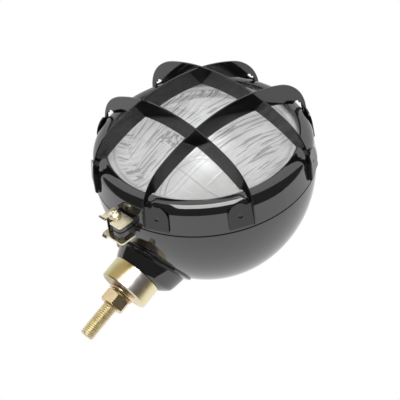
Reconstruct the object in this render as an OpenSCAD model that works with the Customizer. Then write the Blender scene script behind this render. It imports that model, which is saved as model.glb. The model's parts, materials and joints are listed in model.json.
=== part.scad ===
// Tractor headlight with a strip guard, on a ball-seat stud mount.
// The origin is the free end of the stud, +Z is up and the glass faces -Y.
// Lamp pieces are drawn about the optical axis: x right, y up, z forward, zero at the seam.
// Mount pieces are drawn about the stud, with z up from its free end.

/* [Bowl] */
// Diameter of the rim where it meets the bowl
rim_d = 175; // [168:1:182]
// Step inward from the rim's skirt to the bowl
bowl_step = 0.5; // [0.3:0.1:1]
// Radius of the arc of the bowl's side
bowl_side_r = 101.5; // [100:0.5:104]
// Radius of the bowl's rounded back
bowl_tail_r = 77; // [75:0.5:80]
// Thickness of the bowl's steel
bowl_wall = 1.2; // [0.8:0.1:1.6]
// Height of the collar inside the rim
collar_h = 6; // [4:0.5:8]
// Thickness of the gasket in the seam
seam_gasket_t = 0.8; // [0.6:0.1:1.4]

/* [Rim] */
// Thickness of the rim's steel
rim_wall = 1; // [0.8:0.1:1.2]
// Height of the skirt up to the shoulder
skirt_h = 16.6; // [15:0.2:18]
// Inward step of the skirt over its height
skirt_inset = 1.5; // [1:0.1:2]
// Outer radius of the rounded shoulder
shoulder_r = 9.3; // [8.5:0.1:10]
// Outer radius of the rolled lip
lip_r = 2.4; // [2:0.1:3]
// Depth of the straight edge of the lip
lip_edge = 1; // [0.8:0.1:1.4]

/* [Guard] */
// Thickness of the guard's strips
strip_t = 1.2; // [1:0.1:1.5]
// Distance of the right strip from the optical axis
right_offset = 27; // [25:0.5:31]
// Distance of the left strip from the optical axis
left_offset = 30; // [26:0.5:31]
// Distance of the top strip from the optical axis
top_offset = 30.5; // [26:0.5:31]
// Distance of the bottom strip from the optical axis
bottom_offset = 27.5; // [25:0.5:31]
// Turn of the right strip from square, in degrees
right_turn = -2.5; // [-5:0.5:5]
// Turn of the left strip from square, in degrees
left_turn = -4.5; // [-5:0.5:5]
// Turn of the top strip from square, in degrees
top_turn = 2; // [-5:0.5:5]
// Turn of the bottom strip from square, in degrees
bottom_turn = -2; // [-5:0.5:5]
// Height of the guard's crown in front of the seam
crown_h = 65.7; // [63:0.1:68]
// Shift of the crown toward one end of a strip
crown_shift = 3.5; // [0:0.5:5]
// Drop from the crown to the centres of the arch's rounded corners
corner_drop = 51.1; // [49:0.1:53]
// Depth of a strip at the crown
strip_depth = 16; // [14:0.5:17]
// Radius of the rounded corners of the arch
arch_corner_r = 41.5; // [38:0.5:44]
// How far a leg stands out past the skirt
leg_proud = 2.2; // [2:0.2:4]
// Length of a foot along the skirt
foot_len = 19; // [16:0.5:20]
// Height of a foot
foot_h = 22; // [19:0.5:23]
// Radius of the outer corner of a foot
foot_corner_r = 9; // [7:0.5:10]
// Gap between a foot and the seam
foot_rise = 3; // [2.5:0.5:4]
// Radius of the relief notch above the fold
notch_r = 4; // [3.5:0.1:4.6]
// Diameter of the spot weld that holds a foot
weld_d = 4; // [3:0.5:5]

/* [Optics] */
// Thickness of the rubber ring under the lip
lens_gasket_t = 1; // [0.8:0.1:1.3]
// Thickness of the glass
glass_t = 3.6; // [3:0.1:4.2]
// How far the glass reaches under the lip
glass_under_lip = 3.6; // [3:0.1:4.2]
// Width of the plain ring around the fluted dome
glass_ring_w = 13; // [9:0.5:14]
// Rise of the dome above the plain ring
dome_rise = 13; // [11:0.5:14]
// Focal length of the reflector
focal_len = 24; // [22:0.5:26]
// Thickness of the reflector's sheet
reflector_t = 0.8; // [0.6:0.1:1]
// Radius of the hole for the bulb
bulb_hole_r = 20; // [19.5:0.5:21]
// Radius of the bulb's glass
bulb_r = 17.5; // [16:0.5:18.5]
// Number of retaining clips
clip_count = 6; // [4:1:8]

/* [Clamp] */
// Distance of the clamp screw from the rim
screw_out = 7; // [6:0.5:8.5]
// Diameter of the clamp screw
screw_d = 5; // [4.6:0.1:5.4]
// Length of the clamp screw under its head
screw_len = 31.5; // [28:0.5:34]
// Height of each lug
lug_h = 6.6; // [5.5:0.1:7.5]
// Width of each lug
lug_w = 17; // [15:0.5:19]
// Thickness of the clamp's plates
plate_t = 1.5; // [1.2:0.1:1.8]
// Width of the clamp's plates
plate_w = 22; // [20:0.5:24]
// Length of the clamp's plates
plate_len = 14; // [13:0.5:15]
// Sideways shift of the plates and lugs from the screw
plate_shift = 2.5; // [1.5:0.5:3]

/* [Ball seat and stud] */
// Lean of the stud from the vertical
stud_lean = 22; // [18:1:26]
// Lean of the dome's axis from the vertical
saddle_lean = 34; // [31:1:37]
// Distance of the ball centre inward from the rim
ball_inset = 36.3; // [34.5:0.2:37.5]
// Distance of the ball centre behind the seam
ball_back = 46.7; // [45:0.2:48]
// Radius of the dome
dome_r = 39.4; // [38.8:0.1:40]
// Radius of the dome's wall where it meets the dome
saddle_r = 25.3; // [24.8:0.1:26]
// Taper of the dome's wall, in degrees
saddle_taper = 11.5; // [9:0.5:14]
// Radius of the bulge along the dome's wall
saddle_bulge_r = 90; // [80:5:120]
// Radius of the rounded edge of the dome
saddle_edge_r = 5; // [4:0.5:6]
// Thickness of the dome's steel
saddle_wall = 2; // [1.6:0.1:2.3]
// Width of the flange that is welded to the bowl
flange_w = 4.5; // [4:0.5:5.5]
// Swing of the stud each way from the dome's axis, in degrees
swing = 17; // [14:1:18]
// Diameter of the stud
stud_d = 12; // [11:0.5:12.4]
// Free length of the stud below the nut
stud_free = 30; // [26:1:34]
// Height of the nut
nut_h = 10; // [9:0.2:10.8]
// Width of the nut across its flats
nut_af = 19; // [18:0.5:19.5]
// Height of the spring washer when it is loose
spring_h = 5; // [4.6:0.1:5.6]
// Height of the cup
cup_h = 17.5; // [16:0.5:19]
// Outer diameter of the cup
cup_d = 41; // [39:0.5:43]
// Thickness of the cup's wall
cup_wall = 3; // [2.4:0.2:3.4]

/* [Cable inlet] */
// Diameter of the bore for the cable
cable_d = 8; // [6:0.5:9]
// Diameter of the hole in the bowl
inlet_hole_d = 15; // [14:0.5:16]

/* [Hidden] */
$fn = 96;

// Clearances
seat_gap = 0.3;
run_gap = 0.05;
slot_gap = 0.3;

// Bowl
rim_r = rim_d / 2;
bowl_r = rim_r - bowl_step;
side_shift = bowl_side_r - bowl_r;
tail_angle = acos(side_shift / (bowl_side_r - bowl_tail_r));
tail_z = -side_shift * tan(tail_angle);
tail_join_z = -bowl_side_r * sin(tail_angle);
bowl_back_z = tail_z - bowl_tail_r;
mouth_z = -seam_gasket_t / 2;
collar_r = bowl_r - 2.4;

// Rim
skirt_r = rim_r - skirt_inset;
skirt_z = mouth_z + seam_gasket_t + skirt_h;
crest_r = skirt_r - shoulder_r;
crest_z = skirt_z + shoulder_r;
lip_z = crest_z - lip_r;
lip_end_r = crest_r - lip_r;
lip_end_z = lip_z - lip_edge;

skirt_tilt = atan(skirt_inset / skirt_h);

// Glass and reflector
glass_z = lip_end_z - lens_gasket_t;
glass_r = lip_end_r + glass_under_lip;
dome_base_r = lip_end_r - glass_ring_w;
dome_sphere_r = (pow(dome_base_r, 2) + pow(dome_rise, 2)) / (2 * dome_rise);
dome_centre_z = glass_z + dome_rise - dome_sphere_r;
reflector_z = glass_z - glass_t;
reflector_r = lip_end_r - 2;
vertex_z = reflector_z - reflector_t - pow(reflector_r, 2) / (4 * focal_len);
focus_z = vertex_z + focal_len;
neck_z = vertex_z + pow(bulb_hole_r, 2) / (4 * focal_len);
collar_seat_z = neck_z - 3;
bulb_collar_r = bulb_hole_r + 2.5;
bulb_collar_t = 1.5;
bulb_neck_r = 11;
bulb_base_len = 15;
blade_len = 9;
cap_wall = 0.8;
blade_w = 6;
blade_t = 0.8;
blade_out = 6;
blade_gap = 0.3;
neck_flange_w = 4;
clip_w = 9;
clip_t = 0.8;
clip_grip = 4;
clip_leg = 6;
clip_gap = 0.1;

// Guard: each strip's quarter turn, its turn from square and its distance from the axis
right_strip = [0, right_turn, right_offset];
top_strip = [1, top_turn, top_offset];
left_strip = [2, left_turn, left_offset];
bottom_strip = [3, bottom_turn, bottom_offset];
foot_r = rim_r + seat_gap;
notch_sink = 2;
fold_relief = 0.5;
notch_h = foot_rise + foot_h + notch_r - notch_sink;
leg_w = 6.8;
notch_in = leg_w - leg_proud + notch_r;
window_in = notch_in + 0.15 * notch_r;
window_side_h = notch_h + 0.3 * notch_r;
window_rise = crown_h - strip_depth - window_side_h;
crossing_d = (right_offset + left_offset + top_offset + bottom_offset) / 4;
mean_corner_x = sqrt(pow(foot_r, 2) - pow(crossing_d, 2)) + leg_proud - arch_corner_r;
strip_outer_r = (pow(mean_corner_x, 2) + pow(corner_drop, 2) - pow(arch_corner_r, 2))
    / (2 * (corner_drop - arch_corner_r));
outer_centre_h = crown_h - strip_outer_r;
crossing_h = outer_centre_h + sqrt(pow(strip_outer_r, 2) - pow(crossing_d, 2));
crossing_mid = crossing_h - strip_depth / 2;
weld_depth = 0.35;

// Half the chord that a strip cuts from the rim's circle
function chord(d) = sqrt(pow(foot_r, 2) - pow(d, 2));
// Height of the centre of an arch's rounded corner, on side s
function corner_h(x, s) = outer_centre_h
    + sqrt(pow(strip_outer_r - arch_corner_r, 2) - pow(s * x - crown_shift, 2));

// Clamp
screw_drop = rim_r + screw_out;
lug_reach = 6;
lug_root = 6;
lug_out = screw_drop + lug_reach;
screw_hole_r = screw_d / 2 + 0.4;
rim_lug_z = mouth_z + seam_gasket_t + 0.2;
plate_top_z = rim_lug_z + lug_h + plate_t;
housing_lug_z = mouth_z - 0.2;
plate_low_z = housing_lug_z - lug_h - plate_t;
clamp_washer_t = 1;
screw_head_z = plate_top_z + clamp_washer_t;
screw_head_r = screw_d * 0.92;
screw_head_h = screw_d * 0.62;
plate_in = rim_r + 1;

// Ball seat, measured from the ball centre
ball_drop = rim_r - ball_inset;
cup_r = cup_d / 2;
seat_r = dome_r + seat_gap;
cup_edge_d = sqrt(pow(seat_r, 2) - pow(cup_r, 2));
dome_inner_r = dome_r - saddle_wall;
ball_washer_r = 12;
ball_washer_h = 8;
ball_washer_t = 4.2;
head_d = dome_inner_r - seat_gap - ball_washer_t;
head_h = 7;
head_af = 18;
slot_r = stud_d / 2 + 0.4;
wall_n = [cos(saddle_taper), sin(saddle_taper)];
wall_m = [-sin(saddle_taper), cos(saddle_taper)];
saddle_corner_z = sqrt(pow(dome_r, 2) - pow(saddle_r, 2));
wall_d = saddle_r * wall_n[0] + saddle_corner_z * wall_n[1];
edge_along = sqrt(pow(dome_r - saddle_edge_r, 2) - pow(wall_d - saddle_edge_r, 2));
edge_c = (wall_d - saddle_edge_r) * wall_n + edge_along * wall_m;
flange_t = 1.5;
flange_flare = 6;
flange_r = saddle_r + flange_w;
saddle_low_z = 2;
bulge_lean = saddle_taper + asin((edge_c[1] - saddle_low_z) / 2 / saddle_bulge_r);
bulge_n = [cos(bulge_lean), sin(bulge_lean)];
bulge_c = edge_c - (saddle_bulge_r - saddle_edge_r) * bulge_n;

// Stud, measured from its free end
nut_z = stud_free;
spring_z = nut_z + nut_h;
cup_z = spring_z + spring_h;
ball_z = cup_z + cup_h + cup_edge_d;
stud_r = stud_d / 2;
stud_bore_r = stud_r + run_gap;
head_z = ball_z - head_d;
spring_wire = spring_h / 2;
spring_band_w = 4.4;

// Places the lamp so that its ball centre meets the stud's
module lamp() {
    translate([0, -sin(stud_lean) * ball_z - ball_back, cos(stud_lean) * ball_z + ball_drop])
        rotate([90, 0, 0])
            children();
}

// Stands the mount pieces on the leaning stud
module mount() {
    rotate([stud_lean, 0, 0])
        children();
}

// Turns a piece of the saddle to the dome's axis, from the ball centre
module saddle() {
    translate([0, -ball_drop, -ball_back])
        rotate([90 + saddle_lean, 0, 0])
            children();
}

// Half section of the bowl, inset from its outer face
module bowl_section(inset) {
    intersection() {
        translate([-side_shift, 0])
            circle(r = bowl_side_r - inset, $fn = 180);
        translate([0, tail_join_z])
            square([rim_r, -tail_join_z + mouth_z]);
    }
    intersection() {
        translate([0, tail_z])
            circle(r = bowl_tail_r - inset, $fn = 180);
        translate([0, bowl_back_z])
            square([rim_r, tail_join_z - bowl_back_z + (inset > 0 ? inset * cos(tail_angle) : 0)]);
    }
}

// Solid of revolution with the bowl's outer shape
module bowl_solid(inset) {
    rotate_extrude()
        bowl_section(inset);
}

// The bowl's side carried on to the axis, for a skin of even thickness on it
module side_solid(skin) {
    rotate_extrude()
        intersection() {
            translate([-side_shift, 0])
                circle(r = bowl_side_r + skin, $fn = 180);
            translate([0, -2 * bowl_side_r])
                square([rim_r, 2 * bowl_side_r + mouth_z]);
        }
}

// Pressed bowl with a joggled collar that enters the rim
module housing() {
    color("#1b1b1d")
    lamp()
        difference() {
            union() {
                rotate_extrude()
                    difference() {
                        bowl_section(0);
                        bowl_section(bowl_wall);
                    }
                rotate_extrude()
                    translate([collar_r - bowl_wall, mouth_z - bowl_wall])
                        square([bowl_r - collar_r + bowl_wall / 2, bowl_wall]);
                rotate_extrude()
                    translate([collar_r - bowl_wall, mouth_z - bowl_wall])
                        square([bowl_wall, collar_h + bowl_wall]);
            }
            translate([0, 0, bowl_back_z - bowl_wall])
                cylinder(h = 4 * bowl_wall, d = inlet_hole_d);
        }
}

// Half section of the dome: cap, rounded edge and bulging wall
module saddle_section(inset) {
    far = dome_r * 2;
    intersection() {
        circle(r = dome_r - inset, $fn = 180);
        polygon([[0, 0], [0, far], edge_c / norm(edge_c) * far]);
    }
    translate(edge_c)
        circle(r = saddle_edge_r - inset);
    intersection() {
        translate(bulge_c)
            circle(r = saddle_bulge_r - inset, $fn = 180);
        polygon([
            [0, saddle_low_z],
            [far, saddle_low_z],
            edge_c + far * bulge_n,
            edge_c,
            [0, edge_c[1]]
        ]);
    }
}

// Slot that lets the stud swing along the dome
module stud_slot() {
    rotate([0, 90, 0])
        linear_extrude(height = slot_r * 2, center = true)
            polygon([
                [0, 0],
                [-dome_r * 1.3 * cos(swing), dome_r * 1.3 * sin(swing)],
                [-dome_r * 1.3 * cos(swing), -dome_r * 1.3 * sin(swing)]
            ]);
    for (a = [-swing, swing])
        rotate([a, 0, 0])
            cylinder(h = dome_r * 1.2, r = slot_r);
}

// Pressed dome with a narrow flange on the bowl and the stud's slot
module saddle_bracket() {
    color("#1b1b1d")
    lamp()
        difference() {
            union() {
                saddle()
                    rotate_extrude()
                        saddle_section(0);
                intersection() {
                    side_solid(flange_t);
                    saddle()
                        cylinder(h = dome_r, r1 = flange_r + flange_flare, r2 = flange_r);
                }
            }
            side_solid(0);
            saddle()
                rotate_extrude()
                    saddle_section(saddle_wall);
            saddle()
                stud_slot();
        }
}

// Outline of a lug: square at the skirt, round outside, open for the screw
module lug_outline() {
    corner = 4;
    difference() {
        union() {
            translate([plate_shift - lug_w / 2, -lug_out + corner])
                square([lug_w, lug_out - corner - rim_r + lug_root]);
            translate([plate_shift - lug_w / 2 + corner, -lug_out])
                square([lug_w - 2 * corner, corner]);
            for (s = [-1, 1])
                translate([plate_shift + s * (lug_w / 2 - corner), -lug_out + corner])
                    circle(r = corner);
        }
        fork_slot();
    }
}

// Slot for the screw, open outward
module fork_slot() {
    translate([0, -screw_drop])
        circle(r = screw_hole_r);
    translate([-screw_hole_r, -screw_drop - 3 * screw_d])
        square([2 * screw_hole_r, 3 * screw_d]);
}

// Lug on the bowl's edge, under the clamp
module housing_lug() {
    color("#161618")
    lamp()
        difference() {
            translate([0, 0, housing_lug_z - lug_h])
                linear_extrude(height = lug_h)
                    lug_outline();
            bowl_solid(0);
        }
}

// Rubber grommet with a groove that holds the bowl's hole
module cable_grommet() {
    groove_w = bowl_wall + 1.2;
    lip = 2.4;
    grommet_r = inlet_hole_d / 2;
    color("#222222")
    lamp()
        translate([0, 0, bowl_back_z + bowl_wall / 2 + seat_gap])
            rotate_extrude()
                difference() {
                    union() {
                        translate([0, -groove_w / 2 - lip])
                            square([grommet_r + lip, lip]);
                        translate([0, -groove_w / 2])
                            square([grommet_r - 0.05, groove_w]);
                        translate([0, groove_w / 2])
                            square([grommet_r + lip, lip]);
                    }
                    translate([0, -groove_w])
                        square([cable_d, 4 * (groove_w + lip)], center = true);
                }
}

// Thin gasket that shows as the dark line of the seam
module seam_gasket() {
    color("#0c0c0c")
    lamp()
        translate([0, 0, mouth_z])
            difference() {
                cylinder(h = seam_gasket_t, r = rim_r - bowl_step);
                translate([0, 0, -1])
                    cylinder(h = seam_gasket_t + 2, r = collar_r + seat_gap);
            }
}

// Half section of the rim: skirt, shoulder and rolled lip
module rim_section() {
    foot_z = mouth_z + seam_gasket_t;
    polygon([
        [rim_r, foot_z],
        [skirt_r, skirt_z],
        [skirt_r - rim_wall, skirt_z],
        [rim_r - rim_wall, foot_z]
    ]);
    intersection() {
        ring_outline(crest_r, skirt_z, shoulder_r);
        translate([crest_r, skirt_z])
            square(shoulder_r);
    }
    intersection() {
        ring_outline(crest_r, lip_z, lip_r);
        translate([crest_r - lip_r, lip_z])
            square(lip_r);
    }
    translate([lip_end_r, lip_end_z])
        square([rim_wall, lip_edge]);
}

// Ring of sheet about a point of the section
module ring_outline(x, y, r) {
    translate([x, y])
        difference() {
            circle(r = r);
            circle(r = r - rim_wall);
        }
}

// Pressed bezel that holds the glass
module rim() {
    color("#1b1b1d")
    lamp()
        rotate_extrude()
            rim_section();
}

// Lug on the rim's skirt, under the upper plate
module rim_lug() {
    color("#161618")
    lamp()
        difference() {
            translate([0, 0, rim_lug_z])
                linear_extrude(height = lug_h)
                    lug_outline();
            translate([0, 0, mouth_z + seam_gasket_t])
                cylinder(h = skirt_z, r1 = rim_r, r2 = rim_r - skirt_inset * skirt_z / skirt_h);
        }
}

// Outline of a strip's arch: long arcs, rounded corners and straight legs
module arch_outline(half) {
    leg_out = half + leg_proud;
    leg_reach = leg_proud + window_in;
    leg_turn_h = foot_rise + 0.8 * leg_proud;
    corner_x = leg_out - arch_corner_r;
    difference() {
        union() {
            intersection() {
                translate([crown_shift, outer_centre_h])
                    circle(r = strip_outer_r, $fn = 180);
                polygon([
                    [crown_shift, outer_centre_h],
                    corner_line(corner_x, 1),
                    corner_line(corner_x, -1)
                ]);
            }
            for (s = [-1, 1])
                translate([s * corner_x, corner_h(corner_x, s)])
                    circle(r = arch_corner_r);
            for (s = [-1, 1]) {
                translate([s * (leg_out - leg_reach / 2) - leg_reach / 2, leg_turn_h])
                    square([leg_reach, corner_h(corner_x, s) - leg_turn_h]);
                translate([s * half, leg_turn_h])
                    circle(r = leg_proud);
            }
        }
        translate([-rim_r, foot_rise - 2 * strip_outer_r])
            square([2 * rim_r, 2 * strip_outer_r]);
        arch_opening(half);
    }
}

// Point beyond the crown on the line from the long arc's centre through a corner's
function corner_line(x, s) = [
    crown_shift + 3 * (s * x - crown_shift),
    outer_centre_h + 3 * (corner_h(x, s) - outer_centre_h)
];

// Everything under the arch: the window, the notches and the space for the rim
module arch_opening(half) {
    window_half = half - window_in;
    chord_lean = tan(skirt_tilt) * foot_r / half;
    inner_r = (pow(window_half, 2) + pow(window_rise, 2)) / (2 * window_rise);
    intersection() {
        translate([0, window_side_h + window_rise - inner_r])
            circle(r = inner_r, $fn = 180);
        translate([-window_half, 0])
            square([2 * window_half, crown_h]);
    }
    translate([-window_half, 0])
        square([2 * window_half, notch_h]);
    for (s = [-1, 1])
        translate([s * (half - notch_in), notch_h])
            circle(r = notch_r);
    polygon([
        [half, 0],
        [half - chord_lean * notch_h, notch_h],
        [chord_lean * notch_h - half, notch_h],
        [-half, 0]
    ]);
}

// Foot that is bent out of the strip's plane to lie along the skirt
module foot(offset) {
    corner_dir = asin((offset + strip_t / 4) / norm([foot_r, foot_len / 2]));
    rotate([0, 0, -corner_dir - atan(foot_len / 2 / foot_r)])
        translate([0, foot_r - foot_rise * tan(skirt_tilt), foot_rise])
            rotate([skirt_tilt, 0, 0])
            rotate([90, 0, 180])
                translate([-foot_len / 2, 0, 0])
                    difference() {
                        linear_extrude(height = strip_t)
                            foot_outline();
                        spot_weld();
                    }
}

// Shallow dished mark that a spot weld leaves in a foot's outer face
module spot_weld() {
    translate([foot_len / 2, foot_h / 2, strip_t - weld_depth])
        cylinder(h = 2 * weld_depth, d1 = weld_d / 2, d2 = 1.5 * weld_d);
}

// Outline of a foot, seen from outside: rounded at its free corner, relieved at the fold
module foot_outline() {
    difference() {
        union() {
            translate([0, fold_relief])
                square([foot_len, foot_h - foot_corner_r - fold_relief]);
            translate([foot_corner_r, fold_relief])
                square([foot_len - foot_corner_r, foot_h - fold_relief]);
            translate([foot_corner_r, foot_h - foot_corner_r])
                circle(r = foot_corner_r);
        }
        translate([foot_len - 0.8 * notch_r, foot_h + 0.4 * notch_r])
            circle(r = notch_r);
    }
}

// Stands a strip, drawn in the plane x = 0, at its place on the rim
module at_strip(place) {
    rotate([0, 0, 90 * place[0] + place[1]])
        translate([place[2], 0, 0])
            children();
}

// One strip with its two feet, drawn in the plane x = 0
module strip(offset) {
    rotate([90, 0, 90])
        linear_extrude(height = strip_t, center = true)
            arch_outline(chord(offset));
    for (s = [0, 1])
        mirror([0, s, 0])
            translate([-offset, 0, 0])
                foot(offset);
}

// Space that a crossing strip takes out of the front or the back half
module halving_slot(front) {
    slot_w = strip_t + slot_gap;
    slot_bottom = front ? crossing_mid - slot_gap / 2 : 0;
    slot_top = front ? 2 * crown_h : crossing_mid + slot_gap / 2;
    slot_len = 2 * rim_r - 4 * strip_depth;
    translate([-slot_w / 2, -slot_len / 2, slot_bottom])
        cube([slot_w, slot_len, slot_top - slot_bottom]);
}

// Upright strip, halved from the front where the level strips cross it
module upright_strip(place) {
    color("#141416")
    lamp()
        difference() {
            at_strip(place)
                strip(place[2]);
            at_strip(top_strip)
                halving_slot(true);
            at_strip(bottom_strip)
                halving_slot(true);
        }
}

// Level strip, halved from the back where the upright strips cross it
module level_strip(place) {
    color("#141416")
    lamp()
        difference() {
            at_strip(place)
                strip(place[2]);
            at_strip(right_strip)
                halving_slot(false);
            at_strip(left_strip)
                halving_slot(false);
        }
}

module guard_strip_right() {
    upright_strip(right_strip);
}

module guard_strip_left() {
    upright_strip(left_strip);
}

module guard_strip_top() {
    level_strip(top_strip);
}

module guard_strip_bottom() {
    level_strip(bottom_strip);
}

// Convex glass with a plain outer ring
module lens() {
    color("#dfe8ec", 0.5)
    lamp()
        rotate_extrude()
            difference() {
                union() {
                    translate([0, glass_z - glass_t])
                        square([glass_r, glass_t]);
                    intersection() {
                        translate([0, dome_centre_z])
                            circle(r = dome_sphere_r, $fn = 180);
                        translate([0, glass_z])
                            square([dome_base_r, dome_rise]);
                    }
                }
                intersection() {
                    translate([0, dome_centre_z])
                        circle(r = dome_sphere_r - glass_t, $fn = 180);
                    translate([0, glass_z - glass_t - 1])
                        square([dome_base_r - glass_t, dome_rise + glass_t + 1]);
                }
            }
}

// Rubber ring between the lip and the glass
module lens_gasket() {
    color("#101010")
    lamp()
        translate([0, 0, glass_z])
            difference() {
                cylinder(h = lens_gasket_t, r = glass_r);
                translate([0, 0, -1])
                    cylinder(h = lens_gasket_t + 2, r = lip_end_r);
            }
}

// Points of the reflector's parabola, from the bulb's hole outwards
function parabola(offset) = [for (i = [0:14])
    let (r = bulb_hole_r + (reflector_r - bulb_hole_r) * i / 14)
    [r, vertex_z + pow(r, 2) / (4 * focal_len) + offset]];

// Aluminised dish with a flange behind the glass and a neck for the bulb
module reflector() {
    inside = parabola(0);
    outside = parabola(-reflector_t * 1.3);
    flange_top = reflector_z - seat_gap;
    neck_in = bulb_hole_r;
    neck_out = bulb_hole_r + reflector_t;
    color("#c9ccd0")
    lamp()
        rotate_extrude()
            polygon(concat(
                inside,
                [[reflector_r, flange_top], [glass_r, flange_top]],
                [[glass_r, flange_top - reflector_t]],
                [[reflector_r + reflector_t, flange_top - reflector_t]],
                [for (i = [14:-1:1]) outside[i]],
                [[neck_out, neck_z - reflector_t], [neck_out, collar_seat_z + reflector_t]],
                [[neck_out + neck_flange_w, collar_seat_z + reflector_t]],
                [[neck_out + neck_flange_w, collar_seat_z]],
                [[neck_in, collar_seat_z]]
            ));
}

// Spring clips that press the reflector and glass against the lip
module retaining_clips() {
    clip_top = reflector_z - reflector_t - seat_gap - clip_gap;
    clip_out = skirt_r - rim_wall - seat_gap - clip_t / 2;
    color("#8a8d90")
    lamp()
        for (i = [0:clip_count - 1])
            rotate([0, 0, (i + 0.5) * 360 / clip_count])
                translate([0, clip_w / 2, 0])
                    rotate([90, 0, 0])
                        linear_extrude(height = clip_w) {
                            translate([glass_r - clip_grip, clip_top - clip_t])
                                square([clip_out - glass_r + clip_grip, clip_t]);
                            translate([clip_out - clip_t, clip_top - clip_t - clip_leg])
                                square([clip_t, clip_leg + clip_t]);
                        }
}

// Glass of the bulb: a ball on a short neck
module bulb_glass() {
    shell = 0.8;
    color("#eef2f4", 0.4)
    lamp()
        rotate_extrude()
            difference() {
                union() {
                    intersection() {
                        translate([0, focus_z])
                            circle(r = bulb_r);
                        translate([0, focus_z - bulb_r])
                            square([bulb_r, 2 * bulb_r]);
                    }
                    translate([0, collar_seat_z])
                        square([bulb_neck_r - 0.5, focus_z - collar_seat_z]);
                }
                intersection() {
                    translate([0, focus_z])
                        circle(r = bulb_r - shell);
                    translate([0, focus_z - bulb_r])
                        square([bulb_r, 2 * bulb_r]);
                }
                translate([0, collar_seat_z + shell])
                    square([bulb_neck_r - 0.5 - shell, focus_z - collar_seat_z]);
            }
}

// Filament across the focus, on two support wires
module bulb_filament() {
    wire_r = 0.5;
    spread = 5;
    color("#9b9b9b")
    lamp() {
        for (s = [-1, 1])
            translate([s * spread, 0, collar_seat_z + 1])
                cylinder(h = focus_z - collar_seat_z - 1, r = wire_r, $fn = 24);
        translate([-spread - wire_r, 0, focus_z])
            rotate([0, 90, 0])
                cylinder(h = 2 * (spread + wire_r), r = 2 * wire_r, $fn = 24);
    }
}

// Metal base of the bulb: locating collar, barrel and three blades
module bulb_base() {
    base_top = collar_seat_z - seat_gap;
    color("#b9a66a")
    lamp() {
        translate([0, 0, base_top - bulb_collar_t])
            cylinder(h = bulb_collar_t, r = bulb_collar_r);
        translate([0, 0, base_top - bulb_collar_t - bulb_base_len])
            cylinder(h = bulb_base_len, r = bulb_neck_r);
        for (a = [0, 120, 240])
            rotate([0, 0, a])
                translate([0, blade_out, base_top - bulb_collar_t - bulb_base_len - blade_len / 2])
                    cube([blade_w, blade_t, blade_len], center = true);
    }
}

// Cap whose rim holds the bulb's collar against the reflector's neck
module bulb_spring_cap() {
    cap_r = bulb_collar_r + 1;
    cap_top = collar_seat_z - 0.1;
    cap_depth = bulb_collar_t + seat_gap + 2;
    color("#9a9da0")
    lamp()
        rotate_extrude() {
            translate([cap_r, cap_top - cap_depth])
                square([cap_wall, cap_depth]);
            translate([bulb_neck_r + 1, cap_top - cap_depth])
                square([cap_r - bulb_neck_r - 1 + cap_wall, cap_wall]);
        }
}

// Plug on the bulb's three blades
module bulb_connector() {
    plug_h = 14;
    slot_w = blade_w + 2 * blade_gap;
    top = collar_seat_z - seat_gap - bulb_collar_t - bulb_base_len - seat_gap;
    color("#2a2a2a")
    lamp()
        difference() {
            translate([0, 0, top - plug_h])
                cylinder(h = plug_h, r = bulb_neck_r + 1);
            for (a = [0, 120, 240])
                rotate([0, 0, a])
                    translate([0, blade_out, top - blade_len / 2])
                        cube([slot_w, blade_t + 2 * blade_gap, blade_len + 1], center = true);
        }
}

// Outline of a clamp plate: a fork with one broad and one narrow prong
module plate_outline(forked) {
    corner = 2;
    left = plate_shift - plate_w / 2;
    difference() {
        union() {
            translate([left, -plate_in - plate_len + corner])
                square([plate_w, plate_len - corner]);
            translate([left + corner, -plate_in - plate_len])
                square([plate_w - 2 * corner, corner]);
            for (x = [left + corner, left + plate_w - corner])
                translate([x, -plate_in - plate_len + corner])
                    circle(r = corner);
        }
        if (forked)
            fork_slot();
        else
            translate([0, -screw_drop])
                circle(r = screw_hole_r);
    }
}

// Lip bent up at the end of the narrow prong
module plate_lip() {
    lip_w = plate_w / 2 - plate_shift - screw_hole_r - 1;
    translate([plate_shift - plate_w / 2 + 0.5, -plate_in - plate_len + 0.6, 0])
        rotate([-50, 0, 0])
            translate([0, -3.2, 0])
                cube([lip_w, 3.2, plate_t]);
}

// Forked plate under the screw's head
module clamp_plate_upper() {
    color("#c8b26a")
    lamp()
        translate([0, 0, plate_top_z - plate_t]) {
            linear_extrude(height = plate_t)
                plate_outline(true);
            plate_lip();
        }
}

// Plate under the bowl's lug, with a collar that holds the screw's thread
module clamp_plate_lower() {
    collar_t = 3;
    color("#c8b26a")
    lamp()
        translate([0, 0, plate_low_z]) {
            difference() {
                union() {
                    linear_extrude(height = plate_t)
                        plate_outline(false);
                    translate([0, -screw_drop, -collar_t])
                        cylinder(h = collar_t, r = screw_d * 0.9);
                }
                translate([0, -screw_drop, -collar_t - 1])
                    cylinder(h = collar_t + plate_t + 2, r = screw_d / 2 + run_gap);
            }
            translate([0, 0, plate_t])
                mirror([0, 0, 1])
                    plate_lip();
        }
}

// Washer that rises with the clamp screw
module clamp_washer() {
    color("#b8b39a")
    lamp()
        translate([0, -screw_drop, plate_top_z])
            difference() {
                cylinder(h = clamp_washer_t, r = screw_d);
                translate([0, 0, -1])
                    cylinder(h = clamp_washer_t + 2, r = screw_hole_r);
            }
}

// Pan-head screw of the clamp
module clamp_screw() {
    color("#b8b39a")
    lamp()
        translate([0, -screw_drop, screw_head_z]) {
            intersection() {
                cylinder(h = screw_head_h, r = screw_head_r);
                translate([0, 0, screw_head_h - screw_head_r * 1.4])
                    sphere(r = screw_head_r * 1.4);
            }
            translate([0, 0, -screw_len])
                cylinder(h = screw_len, r = screw_d / 2);
        }
}

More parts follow.
